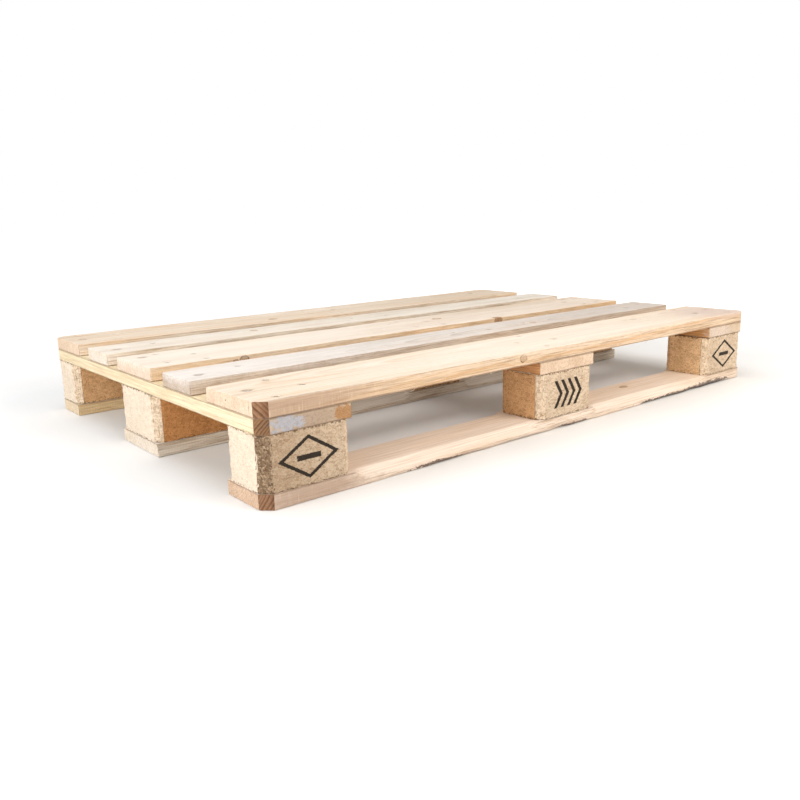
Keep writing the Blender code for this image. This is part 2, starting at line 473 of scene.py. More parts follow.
def knot_field(g, u, v, w, knot, wobble):
    """Push of one knot on the rings round it, and its own distance, 1 at its rim."""
    axis, at_u, across, radius, side, _ = knot
    across_value = v if axis == "w" else w
    du = g.minus(u, at_u)
    dv = g.minus(across_value, across)
    long_du = g.times(du, 0.42)
    spread = g.squares(long_du, dv)
    push = g.math("EXPONENT", g.times(spread, -1 / (2.1 * radius) ** 2))
    near_du = g.times(du, 0.72)
    distance = g.math("SQRT", g.squares(near_du, dv))
    distance = g.plus(g.math("DIVIDE", distance, radius), wobble)
    if axis == "v":
        inside = g.step(g.times(v, side), 0.045, 0.06)
        push = g.times(push, inside)
        distance = g.plus(distance, g.times(g.minus(1.0, inside), 9.0))
    return g.times(push, radius * 1.5), distance


def pine_material(name, tone, grain_axis, seed, half, pith=(0.02, -0.05), tilt=0.015, ring=0.003,
                  contrast=0.6, warm=0.25, knots=(), patches=(), side_tint=None, tinted_side=0,
                  shaded_seams=(), streaks=0.12, side_grain=1.0):
    """Sawn pine: growth rings round a wandering pith, fibres, knots, stains and saw marks."""
    early, late, across = tone
    g = Graph(name)
    place = g.place()
    u, v, w = g.split(place)
    seeded = g.vector("ADD", place, (seed * 1.31, seed * 0.73, seed * 0.47))

    wander = g.sway(seeded, (2.6, 4, 4), 1.0, 0.03)
    ripple = g.sway(seeded, (14, 45, 45), 2.0, 0.0032)
    dv = g.minus(v, pith[0])
    rise = g.line(u, tilt, pith[1])
    dw = g.minus(w, g.plus(rise, wander))
    radius = g.math("SQRT", g.squares(dv, dw))
    radius = g.plus(radius, ripple)
    wobble = g.sway(seeded, (160, 160, 160), 2.0, 0.5)
    rims = []
    for knot in knots:
        push, distance = knot_field(g, u, v, w, knot, wobble)
        radius = g.plus(radius, push)
        rims.append((distance, knot[-1]))

    uneven = g.noise(g.join(g.times(radius, 55.0), seed, 0.0), detail=1.0)
    count = g.line(radius, 1 / ring, g.times(uneven, 2.2))
    phase = g.math("FRACT", count)
    year = g.add("ShaderNodeTexWhiteNoise", {"W": g.math("FLOOR", count)}, noise_dimensions="1D").outputs[0]
    late_wood = g.ramp(phase, [(0.0, 0.0), (0.4, 0.1), (0.84, 1.0), (0.94, 0.85), (1.0, 0.0)])
    late_wood = g.times(late_wood, g.line(year, 0.7, 0.3))

    nx, ny, nz = g.normal()
    along = g.absolute(nx if grain_axis == "X" else ny)
    end_face = g.step(along, 0.55, 0.85)
    oblique = g.times(g.absolute(g.times(nx, ny)), 2.0)
    cut_face = g.step(oblique, 0.8, 0.97)
    end_grain = g.larger(end_face, cut_face)

    fibres = g.noise(seeded, (9, 520, 520), 3.0, 0.65)
    bands = g.noise(seeded, (1.6, 34, 34), 2.0)
    blotches = g.noise(seeded, (2.2, 9, 9), 2.0)
    pores = g.noise(seeded, (900, 900, 900), 1.0)

    ring_share = g.times(late_wood, g.step(end_grain, 0.0, 1.0, contrast, min(1.0, contrast + 0.3)))
    colour = g.mix(ring_share, early, late)
    colour = g.mix(g.times(end_face, 0.75), colour, g.mix(ring_share, across, late))
    colour = g.tint(colour, g.ramp(bands, [(0.3, (0.9, 0.87, 0.83)), (0.55, 1.0),
                                           (0.75, (1.04, 1.04, 1.05))]))
    colour = g.mix(g.times(g.step(blotches, 0.48, 0.72), warm), colour, HEARTWOOD)
    colour = g.tint(colour, g.ramp(fibres, [(0.32, (0.8, 0.75, 0.69)), (0.56, 1.0)]))
    upright = g.times(g.step(g.absolute(nz), 0.7, 0.4), g.minus(1.0, end_grain))
    coarse = g.noise(seeded, (16, 16, 640), 3.0, 0.7)
    coarse_tone = g.ramp(coarse, [(0.35, (0.6, 0.5, 0.41)), (0.49, (0.94, 0.92, 0.89)),
                                  (0.62, (1.07, 1.07, 1.06))])
    colour = g.mix(g.times(upright, side_grain), colour, g.tint(colour, coarse_tone))
    side_ring = g.times(g.times(upright, contrast), g.step(late_wood, 0.35, 0.95, 0.0, 0.5))
    colour = g.mix(side_ring, colour, STREAK)
    # Long sides are tinted darker and warmer than the faces above and below: partly fresher sawn wood, partly
    # painted shade and warm bounce.
    if side_tint:
        side_shade = g.step(g.absolute(nz), 0.6, 0.2)
        side_shade = g.times(side_shade, g.minus(1.0, end_grain))
        if tinted_side:
            side_shade = g.times(side_shade, g.step(g.times(v, tinted_side), 0.0, 0.01))
        colour = g.tint(colour, side_tint, side_shade)
    streak = g.times(g.step(g.noise(seeded, (2.8, 52, 52), 2.0), 0.56, 0.7), streaks)
    colour = g.mix(g.times(streak, g.minus(1.0, end_face)), colour, STREAK)
    speckle = g.step(g.noise(seeded, (330, 330, 330), 3.0, 0.65), 0.5, 0.68)
    colour = g.mix(g.times(speckle, g.times(end_face, 0.45)), colour, late)
    fleck = g.times(g.step(g.noise(seeded, (25, 260, 260), 1.0), 0.7, 0.78), 0.3)
    colour = g.mix(fleck, colour, late)

    knot_mask = 0.0
    for distance, darkness in rims:
        heart = g.step(distance, 1.05, 0.8)
        circles = g.math("SINE", g.times(distance, 16.0))
        knot_colour = g.mix(g.step(circles, -0.6, 0.9), KNOT, tuple(0.62 * part for part in KNOT))
        rim = g.times(g.step(distance, 0.68, 0.94), g.step(distance, 1.22, 1.0))
        halo = g.times(g.step(distance, 2.6, 1.0), 0.3)
        colour = g.mix(halo, colour, HEARTWOOD)
        colour = g.mix(g.times(heart, darkness), colour, knot_colour)
        sided = g.step(g.noise(seeded, (70, 90, 90), 1.0), 0.4, 0.58, 0.15, 0.95)
        colour = g.mix(g.times(rim, sided), colour, KNOT_RIM)
        knot_mask = g.larger(knot_mask, heart)

    ragged = g.sway(seeded, (90, 90, 150), 4.0, 2.4, 0.65)
    mottled = g.step(g.noise(seeded, (330, 330, 420), 3.0, 0.6), 0.36, 0.58, 0.7, 1.0)
    for centre, size, patch_colour, amount, *soft in patches:
        away = g.vector("DIVIDE", g.vector("SUBTRACT", place, centre), size)
        length = g.length(away)
        if soft:
            mask = g.step(g.line(ragged, 0.5, length), 1.5, 0.3)
        else:
            mask = g.times(g.step(g.plus(length, ragged), 1.12, 0.86), mottled)
        colour = g.mix(g.times(mask, amount), colour, patch_colour)

    mottle = g.ramp(g.noise(seeded, (260, 260, 260), 2.0, 0.6),
                    [(0.33, (0.86, 0.83, 0.8)), (0.48, (0.98, 0.98, 0.97)), (0.64, (1.04, 1.04, 1.04))])
    colour = g.mix(end_face, colour, g.tint(colour, mottle))
    cut_tone = g.ramp(late_wood, [(0.0, (0.42, 0.28, 0.185)), (0.6, (0.21, 0.12, 0.07))])
    colour = g.mix(cut_face, colour, g.tint(colour, cut_tone))
    # Painted shade: side faces darken along the edges that meet the next part.
    past_end = g.minus(g.absolute(u), float(half[0]))
    past_side = g.minus(g.absolute(v), float(half[1]))
    at_rim = g.step(g.larger(past_end, past_side), -0.007, -0.003)
    for side in shaded_seams:
        depth = g.line(w, side, -float(half[2]))
        seam_shade = g.step(g.line(ragged, 0.001, depth), -0.0026, -0.0007)
        seam_shade = g.times(seam_shade, g.times(at_rim, g.step(g.absolute(nz), 0.92, 0.7)))
        colour = g.mix(g.times(seam_shade, 0.62), colour, SEAM_SHADE)
    stain = g.add("ShaderNodeAttribute", {}, attribute_name="stain").outputs["Fac"]
    colour = g.mix(g.times(stain, 0.75), colour, RUST)

    saw = g.add("ShaderNodeTexWave", {"Vector": g.vector("MULTIPLY", seeded, (1, 0.22, 0.22)), "Scale": 62.0,
                                      "Distortion": 2.2, "Detail": 2.0, "Detail Scale": 0.6}).outputs["Fac"]
    saw = g.times(saw, g.times(g.minus(1.0, end_grain), 0.3))
    kerf_lines = g.noise(g.vector("ADD", seeded, g.join(0.0, 0.0, g.times(u, 0.02))), (620, 3, 30), 2.0)
    kerf_zone = g.step(g.noise(seeded, (9, 9, 40), 1.0), 0.42, 0.6)
    kerf = g.times(g.step(kerf_lines, 0.56, 0.72), g.times(kerf_zone, upright))
    colour = g.mix(g.times(kerf, 0.6), colour, late)
    dirt = g.times(g.step(g.noise(seeded, (18, 60, 210), 3.0, 0.6), 0.56, 0.74), upright)
    colour = g.mix(g.times(dirt, 0.42), colour, DIRT)
    height = g.pile(saw, (fibres, 0.55), (late_wood, g.step(end_grain, 0.0, 1.0, 0.25, 0.6)),
                    (pores, g.times(end_grain, 0.5)), (knot_mask, 0.3))
    roughness = g.step(g.plus(fibres, g.times(late_wood, -0.3)), 0.1, 0.8, 0.58, 0.86)
    return g.finish(colour, roughness, height, 0.00055)


def timber_place(node, grain_axis):
    """Frame of a timber and its half sizes along, across and through."""
    low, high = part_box(node)
    half = (high - low) / 2
    place = Matrix.Translation((low + high) / 2)
    if grain_axis == "X":
        return place, np.array(half)
    return place @ Matrix.Rotation(pi / 2, 4, "Z"), np.array((half.y, half.x, half.z))


def timber_points(half, seed, wane, bays):
    """Gridded timber with worn, chipped edges, wane and planed-off bays, and its quads."""
    points, quads = grid_box([edge_lines(h, s) for h, s in zip(half, TIMBER_GRID)])
    u, v, w = points.T
    radius = EDGE_RADIUS + 0.0006 * smooth_noise(points, (0.06, 0.03, 0.03), seed)
    radius += 0.0004 * smooth_noise(points, (0.009, 0.006, 0.006), seed + 7)
    radius += 0.0065 * np.clip(smooth_noise(points, (0.016, 0.012, 0.012), seed + 1) - 0.54, 0, 1)
    ragged = smooth_noise(points, (0.035, 0.05, 0.05), seed + 2)
    for side_v, side_w, start, end, depth in wane:
        away = np.hypot(half[1] - side_v * v, half[2] - side_w * w)
        run = smooth_step(u, start, start + WANE_RUN_OUT) * smooth_step(-u, -end, -end + WANE_RUN_OUT)
        radius += depth * run * np.clip(1 - away / WANE_REACH, 0, 1) * np.clip(0.55 + 0.75 * ragged, 0, 1)
    radius = np.clip(radius, *EDGE_RADIUS_RANGE)
    points, outward = round_edges(points, half, radius)

    for start, end in bays:
        run = smooth_step(u, start, start + EASE_RUN_OUT) * smooth_step(-u, -end, -end + EASE_RUN_OUT)
        for side in (-1, 1):
            normal = np.array((0, side * EASE_DROP, EASE_INSET)) / np.hypot(EASE_DROP, EASE_INSET)
            rim = np.array((0, side * (half[1] - EASE_INSET), half[2]))
            points = plane_off(points, rim, normal, run)

    unevenness = 0.00022 * smooth_noise(points, (0.1, 0.028, 0.028), seed + 3)
    unevenness += 0.0001 * smooth_noise(points, (0.03, 0.006, 0.006), seed + 4)
    torn = np.abs(outward[:, 0]) > 0.7
    unevenness += torn * 0.00035 * smooth_noise(points, (0.004, 0.0055, 0.0032), seed + 5)
    points = points + outward * unevenness[:, None]
    points[:, 2] += BOARD_BOW * smooth_noise(points * (1, 0.15, 0), (0.34, 1, 1), seed + 6)
    return points, quads


def mark_stain(mesh, place, nails, level):
    """Paint the dark ring that steel leaves in the wood round each nail head."""
    coordinates = np.zeros(len(mesh.vertices) * 3)
    mesh.vertices.foreach_get("co", coordinates)
    turned = np.array(place.to_3x3())
    world = coordinates.reshape(-1, 3) @ turned.T + np.array(place.translation)
    stain = np.zeros(len(world))
    for nail, amount in zip(nails, itertools.cycle(STAIN_AMOUNTS)):
        away = np.hypot(*((world[:, :2] - np.array(nail)) * (0.8, 1.0)).T)
        stain = np.maximum(stain, amount * np.clip(1.2 - away / (NAIL_HEAD_RADIUS * 1.6), 0, 1))
    stain *= np.abs(world[:, 2] - level) < 0.004
    attribute = mesh.attributes.new("stain", "FLOAT", "POINT")
    attribute.data.foreach_set("value", stain.astype(np.float32))


def build_timber(node, slot, tone, seed, grain_axis="X", nails=(), level=None, upward=1, wane=(), bays=(),
                 **looks):
    place, half = timber_place(node, grain_axis)
    points, quads = timber_points(half, seed, wane, bays)
    shape = bmesh.new()
    mesh = new_mesh(node + "_timber", points, quads)
    shape.from_mesh(mesh)
    cut_pallet_corners(shape, place)
    shape.to_mesh(mesh)
    shape.free()
    low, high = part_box(node)
    here = [nail for nail in nails if low.x < nail.x < high.x and low.y < nail.y < high.y]
    if here:
        mesh = sink_pits(mesh, place, here, level, upward)
        mark_stain(mesh, place, here, level)
    mesh.shade_smooth()
    mesh.set_sharp_from_angle(angle=TIMBER_SHARP)
    material = pine_material(node + "_pine", tone, grain_axis, seed, half, **looks)
    return add_piece(node + "_timber", mesh, material, place, node)


# ---- pressed-wood blocks

def clip_outline(outline, normal, reach):
    """The part of an outline that lies inside a straight cut."""
    kept = []
    for here, after in zip(outline, outline[1:] + outline[:1]):
        inside, next_inside = (normal.dot(point) - reach for point in (here, after))
        if inside <= 0:
            kept.append(here)
        if inside * next_inside < 0:
            kept.append(here.lerp(after, inside / (inside - next_inside)))
    return kept


def block_outline(low, high):
    """Plan of a block, anticlockwise, with cut upright edges and the pallet's corner cuts."""
    centre = (low.xy + high.xy) / 2
    half = (high.xy - low.xy) / 2
    outline = [centre + Vector((half.x * x, half.y * y)) for x, y in AROUND]
    corner = CAD_BOUNDS[1][0] + CAD_BOUNDS[1][1] - CORNER_CUT
    for side in itertools.product((-1, 1), repeat=2):
        normal = Vector(side)
        reach = normal.dot(centre) + half.x + half.y - BLOCK_CUT
        outline = clip_outline(outline, normal, min(reach, corner))
    return outline


def walk_outline(outline, spacing):
    """Evenly spaced points round an outline, their outward directions and distance to a corner."""
    points, outward, corner_distance = [], [], []
    for here, after in zip(outline, outline[1:] + outline[:1]):
        run = after - here
        count = max(1, round(run.length / spacing))
        normal = Vector((run.y, -run.x)).normalized()
        for step in range(count):
            share = step / count
            points.append(here.lerp(after, share))
            outward.append(normal)
            corner_distance.append(min(share, 1 - share) * run.length)
    smooth = [(a + b).normalized() for a, b in zip(outward[-1:] + outward[:-1], outward)]
    smooth = [s if d == 0 else n for s, n, d in zip(smooth, outward, corner_distance)]
    return np.array(points), np.array(smooth), np.array(corner_distance)


def block_mesh(node, seed):
    """Walls of pressed chips that stand out and have dropped out, with crumbled edges."""
    low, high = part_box(node)
    plan, normals, corner_distance = walk_outline(block_outline(low, high), BLOCK_GRID)
    heights = edge_lines((high.z - low.z) / 2, BLOCK_GRID) + (low.z + high.z) / 2
    count = len(plan)
    points = np.zeros((len(heights), count, 3))
    points[..., :2] = plan
    points[..., 2] = heights[:, None]
    flat = points.reshape(-1, 3)
    relief = 0.0003 * np.round(2.2 * smooth_noise(flat, (0.0075, 0.0075, 0.0042), seed)) / 2
    relief += 0.00018 * smooth_noise(flat, (0.0032, 0.0032, 0.0024), seed + 1)
    relief -= 0.0022 * np.clip(smooth_noise(flat, (0.007, 0.007, 0.0045), seed + 2) - 0.62, 0, 1)
    rim = np.minimum(flat[:, 2] - low.z, high.z - flat[:, 2])
    edge = np.minimum(np.tile(corner_distance, len(heights)), rim)
    crumble = np.clip(smooth_noise(flat, (0.006, 0.006, 0.006), seed + 3) + 0.35, 0, 1)
    relief -= 0.0015 * crumble * np.clip(1 - edge / 0.0032, 0, 1)
    flat[:, :2] += np.tile(normals, (len(heights), 1)) * relief[:, None]
    faces = []
    for level in range(len(heights) - 1):
        for step in range(count):
            following = (step + 1) % count
            faces.append((level * count + step, level * count + following,
                          (level + 1) * count + following, (level + 1) * count + step))
    faces.append(tuple(reversed(range(count))))
    faces.append(tuple(range((len(heights) - 1) * count, len(heights) * count)))
    mesh = new_mesh(node + "_chips", flat, faces)
    mesh.shade_smooth()
    mesh.set_sharp_from_angle(angle=BLOCK_SHARP)
    return mesh


def burnt_mark(g, kind, x, z, blur):
    """How burnt the face is, for a plain geometric brand; x and z run from its middle."""
    if kind == "diamond":
        ray = g.plus(g.absolute(g.math("DIVIDE", x, 0.046)), g.absolute(g.math("DIVIDE", z, 0.029)))
        line = g.absolute(g.minus(ray, 0.94))
        frame_line = g.step(g.plus(line, blur), 0.11, 0.08)
        wide = g.step(g.plus(g.absolute(x), g.times(blur, 0.02)), 0.0195, 0.018)
        tall = g.step(g.plus(g.absolute(z), g.times(blur, 0.02)), 0.0042, 0.0032)
        return g.larger(frame_line, g.times(wide, tall))
    bent = g.line(g.absolute(z), 0.62, x)
    wave = g.absolute(g.minus(g.math("FRACT", g.line(bent, 58.0, 0.5)), 0.5))
    bars = g.step(g.plus(wave, blur), 0.25, 0.2)
    wide = g.step(g.absolute(g.minus(bent, 0.0085)), 0.0352, 0.0345)
    tall = g.step(g.absolute(z), 0.0245, 0.0235)
    return g.times(bars, g.times(wide, tall))


def pressed_wood_material(name, seed, inner_shade_tint, centre, half_height, mark, facing, mark_face_darkening):
    """Chips pressed flat: fine grains, dark specks, crevices darkened with painted shade and, on some faces,
    a burnt brand.

    Faces inside the pallet are tinted darker and browner as painted shade, lighter on block_front_right as
    painted light; outer end faces are painted lighter, as lit.
    """
    g = Graph(name)
    place = g.place()
    seeded = g.vector("ADD", place, (seed * 0.91, seed * 0.37, seed * 0.53))
    drift = g.add("ShaderNodeTexNoise", {"Vector": seeded, "Scale": 130.0, "Detail": 2.0}).outputs["Color"]
    bent = g.add("ShaderNodeVectorMath", {0: drift, 1: (0.005, 0.005, 0.005), 2: seeded},
                 operation="MULTIPLY_ADD").outputs[0]

    chips = g.cells(bent, CHIP_CELLS)
    gaps = g.cells(bent, CHIP_CELLS, "DISTANCE_TO_EDGE").outputs["Distance"]
    grains = g.cells(bent, GRAIN_CELLS)
    chip_tone = g.split(chips.outputs["Color"])[0]
    grain_tone, speck_chance, _ = g.split(grains.outputs["Color"])
    fibres = g.noise(seeded, (900, 900, 300), 2.0)
    drifted = g.noise(seeded, (26, 26, 26), 2.0)

    x, y, z = g.split(place)
    nx, ny, _ = g.normal()
    from_end = g.minus(g.absolute(x), CAD_BOUNDS[1][0])
    from_side = g.minus(g.absolute(y), CAD_BOUNDS[1][1])
    outside = g.step(g.larger(from_end, from_side), -0.0135, -0.0105)
    oblique = g.step(g.times(g.absolute(g.times(nx, ny)), 2.0), 0.55, 0.9)
    at_corner = g.step(g.plus(from_end, from_side), -0.03, -0.018)
    sawn = g.times(oblique, at_corner)

    light = g.ramp(chip_tone, [(0.0, CHIP_DARK), (0.3, CHIP_MIDDLE), (1.0, CHIP_LIGHT)])
    fine = g.ramp(grain_tone, [(0.0, CHIP_DARK), (0.2, CHIP_MIDDLE), (1.0, CHIP_LIGHT)])
    colour = g.mix(0.55, light, fine)
    colour = g.tint(colour, g.ramp(fibres, [(0.3, (0.86, 0.83, 0.78)), (0.58, 1.0)]))
    colour = g.tint(colour, g.ramp(drifted, [(0.35, (0.92, 0.89, 0.84)), (0.62, (1.03, 1.02, 0.98))]))
    # Painted shade: faces inside the pallet take the inner tint.
    colour = g.tint(colour, g.mix(outside, inner_shade_tint, (1.0, 1.0, 1.0)))
    # Painted light: the outer end faces are washed lighter, with fainter crevices and specks.
    lit_end_face = g.times(g.step(g.absolute(nx), 0.75, 0.9), outside)
    colour = g.mix(g.times(lit_end_face, 0.5), colour, CHIP_LIGHT)
    lit_end_fade = g.line(lit_end_face, -0.5, 1.0)
    weak = g.step(outside, 0.0, 1.0, 0.62, 0.6)
    weak = g.line(sawn, g.minus(0.45, weak), weak)
    weak = g.times(weak, lit_end_fade)
    # Painted shade: the gaps between chips are darkened.
    crevice_shade = g.times(g.step(gaps, 0.075, 0.0), g.step(chip_tone, 0.85, 0.15, 0.1, 0.9))
    colour = g.mix(g.times(crevice_shade, weak), colour, DARK_SPECK_AND_SHADE)
    # Painted shade: a dark line on the side faces where they meet the cut upright edges.
    off_rim = g.absolute(g.plus(g.larger(from_end, from_side), BLOCK_CUT + 0.0003))
    rim_shade_line = g.times(g.step(off_rim, 0.0014, 0.0004), g.step(drifted, 0.35, 0.55, 0.2, 0.8))
    colour = g.mix(g.times(rim_shade_line, g.minus(1.0, oblique)), colour, DARK_SPECK_AND_SHADE)
    # Crumbled chips darken the rims near the top and bottom: partly real crumbling, partly painted shade of
    # the gap to the boards.
    from_layer = g.minus(g.absolute(g.minus(z, centre.z)), half_height)
    crumbs_and_gap_shade = g.line(g.noise(seeded, (200, 200, 200), 2.0, 0.6), 0.02, from_layer)
    crumbs_and_gap_shade = g.times(g.step(crumbs_and_gap_shade, 0.0088, 0.0102), g.step(from_layer, -0.0046, -0.0018))
    colour = g.mix(g.times(crumbs_and_gap_shade, 0.75), colour, DARK_SPECK_AND_SHADE)
    speck = g.times(g.step(speck_chance, 0.86, 0.9), g.step(grains.outputs["Distance"], 0.48, 0.3))
    colour = g.mix(g.times(speck, g.times(weak, 0.95)), colour, DARK_SPECK_AND_SHADE)
    coarse = g.split(g.cells(bent, (480, 480, 520)).outputs["Color"])[2]
    rough_tone = g.ramp(coarse, [(0.0, (0.16, 0.12, 0.09)), (0.3, (0.29, 0.23, 0.175)),
                                 (0.8, (0.45, 0.385, 0.32)), (1.0, (0.65, 0.58, 0.51))])
    colour = g.mix(sawn, colour, g.tint(colour, rough_tone))
    pitted = g.times(g.step(g.noise(seeded, (270, 270, 190), 2.0, 0.6), 0.55, 0.62),
                    g.step(g.noise(seeded, (35, 35, 22), 1.0), 0.4, 0.56))
    colour = g.mix(g.times(g.times(pitted, sawn), 0.65), colour, DARK_SPECK_AND_SHADE)
    chamfer = g.times(oblique, g.minus(1.0, at_corner))
    torn = g.noise(seeded, (420, 420, 90), 3.0, 0.6)
    torn_tone = g.ramp(torn, [(0.3, (0.62, 0.52, 0.42)), (0.41, (0.95, 0.92, 0.88)), (0.6, 1.1)])
    colour = g.mix(chamfer, colour, g.tint(colour, torn_tone))

    height = g.pile(g.times(grain_tone, 0.25), (chip_tone, 0.4), (g.step(gaps, 0.12, 0.0), -0.3),
                    (speck, -0.5), (fibres, 0.15), (g.times(torn, chamfer), 1.2))
    if mark:
        mark_x, _, mark_z = g.split(g.vector("SUBTRACT", place, tuple(centre)))
        blur = g.sway(seeded, (420, 420, 420), 2.0, 0.1)
        outer = g.step(g.times(ny, facing), 0.8, 0.95)
        burnt = g.times(burnt_mark(g, mark, mark_x, mark_z, blur), outer)
        # The marked outer face is darkened, most towards its low-x end; the strong darkening on
        # block_front_left is painted shade.
        uneven = g.step(g.line(mark_x, -7.0, drifted), 0.15, 0.95, 0.55, 1.0)
        worn = g.tint(colour, (0.58, 0.51, 0.44))
        colour = g.mix(g.times(uneven, g.times(outer, mark_face_darkening)), colour, worn)
        colour = g.mix(g.times(burnt, 0.97), colour, BURNT)
        height = g.line(burnt, -0.9, height)
    roughness = g.step(chip_tone, 0.0, 1.0, 0.9, 0.74)
    return g.finish(colour, roughness, height, 0.0009, 0.8)


def build_blocks():
    for number, (row, column) in enumerate(itertools.product(ROWS, COLUMNS)):
        node = f"block_{row}_{column}"
        low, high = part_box(node)
        mark = None if row == "centre" else "chevrons" if column == "middle" else "diamond"
        facing = 1 if row == "back" else -1
        mark_face_darkening = 0.9 if node == "block_front_left" else 0.25
        material = pressed_wood_material(node + "_pressed", 3 + 5 * number, INNER_SHADE_TINTS.get(node, INNER_SHADE_TINT),
                                         (low + high) / 2, (high.z - low.z) / 2, mark, facing, mark_face_darkening)
        add_piece(node + "_chips", block_mesh(node, 40 + 7 * number), material, replaced=node)


# ---- steel

def steel_material(name):
    """Dull drawn steel with a little rust in patches."""
    g = Graph(name)
    place = g.place()
    patches = g.noise(place, (420, 420, 420), 3.0)
    fine = g.noise(place, (1600, 1600, 1600), 2.0)
    colour = g.mix(g.step(patches, 0.42, 0.6), (0.54, 0.5, 0.46), (0.36, 0.25, 0.17))
    roughness = g.step(patches, 0.4, 0.62, 0.52, 0.8)
    material = g.finish(colour, roughness, fine, 0.0001, 0.5)
    g.shader.inputs["Metallic"].default_value = 0.45
    return material


def build_nails():
    steel = steel_material("nail_steel_finish")
    for name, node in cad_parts.items():
        if name.startswith("nail_"):
            node.data.materials.clear()
            node.data.materials.append(steel)
    top = CAD_BOUNDS[1][2]
    bottom = CAD_BOUNDS[0][2]
    add_nail_heads("deck_nail_heads", stringer_nail_places(), top, 1, steel)
    for row in ROWS:
        add_nail_heads(f"base_{row}_nail_heads", base_nail_places(row), bottom, -1, steel)


# ---- splinters

def add_splinters(name, starts, along, seed, material, lifts=(0.05, 0.22)):
    """Thin slivers of torn wood that hang from a lower edge; starts are points on that edge."""
    out = Vector(DOWN)
    chance = np.random.default_rng(seed)
    mesh = bmesh.new()
    for start in starts:
        length = chance.uniform(0.008, 0.024)
        width = chance.uniform(0.0004, 0.001)
        lift = chance.uniform(*lifts)
        turn = int(chance.choice((-1, 1)))
        direction = (turn * Vector(along) + lift * out).normalized()
        side = direction.cross(out).normalized()
        face = side.cross(direction)
        rings = []
        for share, thick in ((-0.25, 0.8), (0.0, 1.0), (0.45, 0.75), (0.8, 0.35)):
            middle = Vector(start) + direction * length * share + out * SPLINTER_CURL * max(share, 0) ** 2
            corners = ((-1, 0), (0, -0.5), (1, 0), (0, 0.5))
            rings.append([mesh.verts.new(middle + (side * a + face * b) * width * thick) for a, b in corners])
        tip = mesh.verts.new(Vector(start) + direction * length + out * SPLINTER_CURL)
        mesh.faces.new(list(reversed(rings[0])))
        for lower, upper in zip(rings, rings[1:]):
            for step in range(4):
                following = (step + 1) % 4
                mesh.faces.new((lower[step], lower[following], upper[following], upper[step]))
        for step in range(4):
            mesh.faces.new((rings[-1][step], rings[-1][(step + 1) % 4], tip))
    return add_piece(name, finished_mesh(name, mesh), material)


# ---- the pallet

def build_deck(nails):
    shared = dict(slot="deck_timber", nails=nails, level=CAD_BOUNDS[1][2], shaded_seams=(-1,))
    weathered = {**shared, "slot": "weathered_timber"}
    build_timber(
        "deck_outer_front", tone=PALE, seed=11, pith=(0.034, -0.052), tilt=0.018, ring=0.0046,
        contrast=0.8, warm=0.3, streaks=0.32, side_tint=(0.93, 0.84, 0.74),
        knots=[("v", -0.112, 0.002, 0.0062, -1, 0.5), ("w", 0.335, 0.03, 0.006, 0, 0.45)],
        patches=[
            ((-0.56, -0.0705, 0.002), (0.13, 0.006, 0.03), (0.44, 0.3, 0.21), 0.78, "soft"),
            # Painted shade: the top darkens away from its left end, most at the right end.
            ((0.05, 0.0, 0.011), (0.42, 0.085, 0.01), (0.85, 0.78, 0.7), 0.5, "soft"),
            ((0.57, -0.02, 0.011), (0.13, 0.085, 0.01), (0.57, 0.45, 0.4), 0.75, "soft"),
            ((-0.6, 0.0145, 0.001), (0.01, 0.0015, 0.0015), (0.08, 0.05, 0.03), 0.95),
            ((-0.6, -0.047, 0.001), (0.01, 0.0007, 0.0105), (0.25, 0.15, 0.09), 0.7)], **shared)
    build_timber(
        "deck_inner_front", tone=GREY, seed=23, pith=(-0.01, -0.034), tilt=0.03, ring=0.0026,
        contrast=0.75, warm=0.1, side_tint=(0.9, 0.84, 0.78),
        knots=[("w", 0.17, -0.012, 0.0055, 0, 0.5), ("v", 0.425, 0.001, 0.0045, -1, 0.7)],
        patches=[
            ((-0.5, 0.0, 0.011), (0.26, 0.08, 0.01), (0.86, 0.82, 0.79), 0.45, "soft"),
            # Painted shade: the top darkens towards its right end.
            ((0.46, 0.0, 0.011), (0.3, 0.08, 0.01), (0.5, 0.43, 0.38), 0.4, "soft")], **weathered)
    build_timber(
        "deck_centre", tone=ROSY, seed=31, pith=(-0.02, 0.055), tilt=-0.014, ring=0.0034,
        contrast=0.45, warm=0.35, side_tint=(0.97, 0.84, 0.66),
        knots=[
            ("v", -0.436, 0.003, 0.0058, -1, 0.75), ("v", -0.452, 0.001, 0.0036, -1, 0.75),
            ("v", 0.177, 0.005, 0.0085, -1, 0.8), ("w", 0.177, -0.0665, 0.0075, 0, 0.75),
            ("w", 0.08, 0.02, 0.0075, 0, 0.5)],
        patches=[((-0.4, 0.0, 0.011), (0.34, 0.085, 0.01), (0.86, 0.8, 0.72), 0.45, "soft")], **shared)
    build_timber(
        "deck_inner_back", tone=WHITE, seed=43, pith=(0.015, -0.06), tilt=0.022, ring=0.0029,
        contrast=0.5, warm=0.12, knots=[("w", -0.28, 0.01, 0.005, 0, 0.5)], **shared)
    build_timber(
        "deck_outer_back", tone=PALE, seed=59, pith=(0.045, -0.046), tilt=0.03, ring=0.0055,
        contrast=0.8, warm=0.3, streaks=0.6, knots=[("w", -0.16, -0.03, 0.007, 0, 0.55)], **shared)


